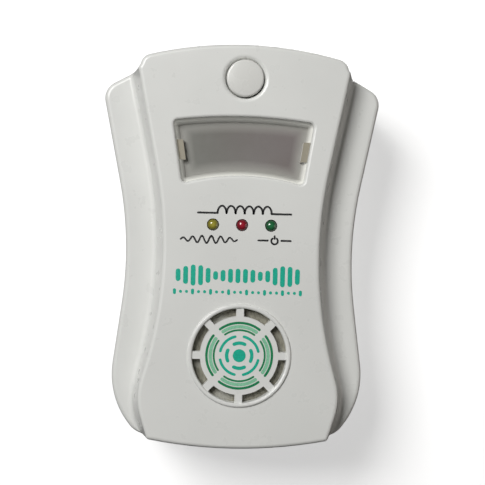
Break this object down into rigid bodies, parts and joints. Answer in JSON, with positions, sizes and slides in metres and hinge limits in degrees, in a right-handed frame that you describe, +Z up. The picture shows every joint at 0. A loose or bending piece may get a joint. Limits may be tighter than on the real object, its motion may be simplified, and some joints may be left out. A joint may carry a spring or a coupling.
{
  "type": "ultrasonic pest repeller",
  "caption": "Plug-in ultrasonic pest repeller: waisted white two-tier case, round push button, frosted night-light window, three indicator lamps and a round sound grille.",
  "frame": {"origin": "midway between the two plug pins, on the face of the plug insert that meets the socket", "axes": "+Z up as it hangs in a wall socket, +Y out of the back along the plug pins into the wall, -Y the front"},
  "size_m": [0.0736, 0.0564, 0.106],
  "materials": {
    "white_abs": "satin white moulded ABS",
    "button_white": "satin white ABS, a shade warmer than the case",
    "frosted_lens": "frosted translucent polycarbonate, unlit",
    "reflector_white": "matt white",
    "led_yellow": "tinted clear epoxy, yellow, unlit",
    "led_red": "tinted clear epoxy, red, unlit",
    "led_green": "tinted clear epoxy, green, unlit",
    "led_clear": "water-clear epoxy, unlit",
    "tinned_wire": "tinned steel wire",
    "nickel_pin": "nickel-plated brass",
    "pin_sleeve": "black insulating sleeve",
    "screw_steel": "zinc-plated steel",
    "circuit_board": "bare paper laminate",
    "switch_black": "black moulded switch case",
    "switch_cream": "cream acetal",
    "spring_steel": "bright spring wire",
    "speaker_cloth": "open grey-olive scrim",
    "speaker_black": "black moulded speaker frame",
    "cone_paper": "coated paper cone",
    "piezo_brass": "brass disc with ceramic face",
    "lead_insulation": "PVC insulation",
    "ferrite": "dark grey sintered ferrite",
    "bobbin_plastic": "black phenolic",
    "copper_winding": "enamelled copper wire",
    "film_red": "dark red epoxy box",
    "capacitor_sleeve": "dark shrink sleeve",
    "component_body": "black epoxy",
    "resistor_body": "beige lacquer",
    "ceramic_disc": "orange-brown dipped ceramic"
  },
  "bodies": {
    "case": {"front_housing": "white_abs", "rear_housing": "white_abs", "housing_screws": "screw_steel", "plug_insert": "white_abs", "plug_pin_left": "nickel_pin", "plug_pin_right": "nickel_pin", "pin_sleeve_left": "pin_sleeve", "pin_sleeve_right": "pin_sleeve", "mains_lead_left": "lead_insulation", "mains_lead_right": "lead_insulation", "switch_body": "switch_black", "switch_spring": "spring_steel", "window_lens": "frosted_lens", "light_reflector": "reflector_white", "night_light_board": "circuit_board", "board_spacers": "reflector_white", "night_light_leds": "led_clear", "ultrasonic_led": "led_yellow", "electromagnetic_led": "led_red", "power_led": "led_green", "led_leads": "tinned_wire", "speaker_cloth": "speaker_cloth", "speaker_frame": "speaker_black", "piezo_disc": "piezo_brass", "speaker_cone": "cone_paper", "cone_clamp": "speaker_black", "speaker_leads": "lead_insulation", "main_board": "circuit_board", "board_screws": "screw_steel", "coil_core": "ferrite", "coil_bobbin": "bobbin_plastic", "coil_winding": "copper_winding", "film_capacitor": "film_red", "electrolytic_capacitor": "capacitor_sleeve", "rectifier_diodes": "component_body", "resistors": "resistor_body", "fuse_resistor": "resistor_body", "control_chip": "component_body", "driver_transistors": "component_body", "ceramic_capacitors": "ceramic_disc"},
    "button": {"button_cap": "button_white", "switch_plunger": "switch_cream"}
  },
  "joints": [
    {"name": "button_press", "type": "slide", "parent": "case", "child": "button", "axis": [0, 1, 0], "range_m": [0, 0.0015], "stiffness_N_per_m": 800, "springref_m": -0.001, "deforming": ["switch_spring"]}
  ]
}
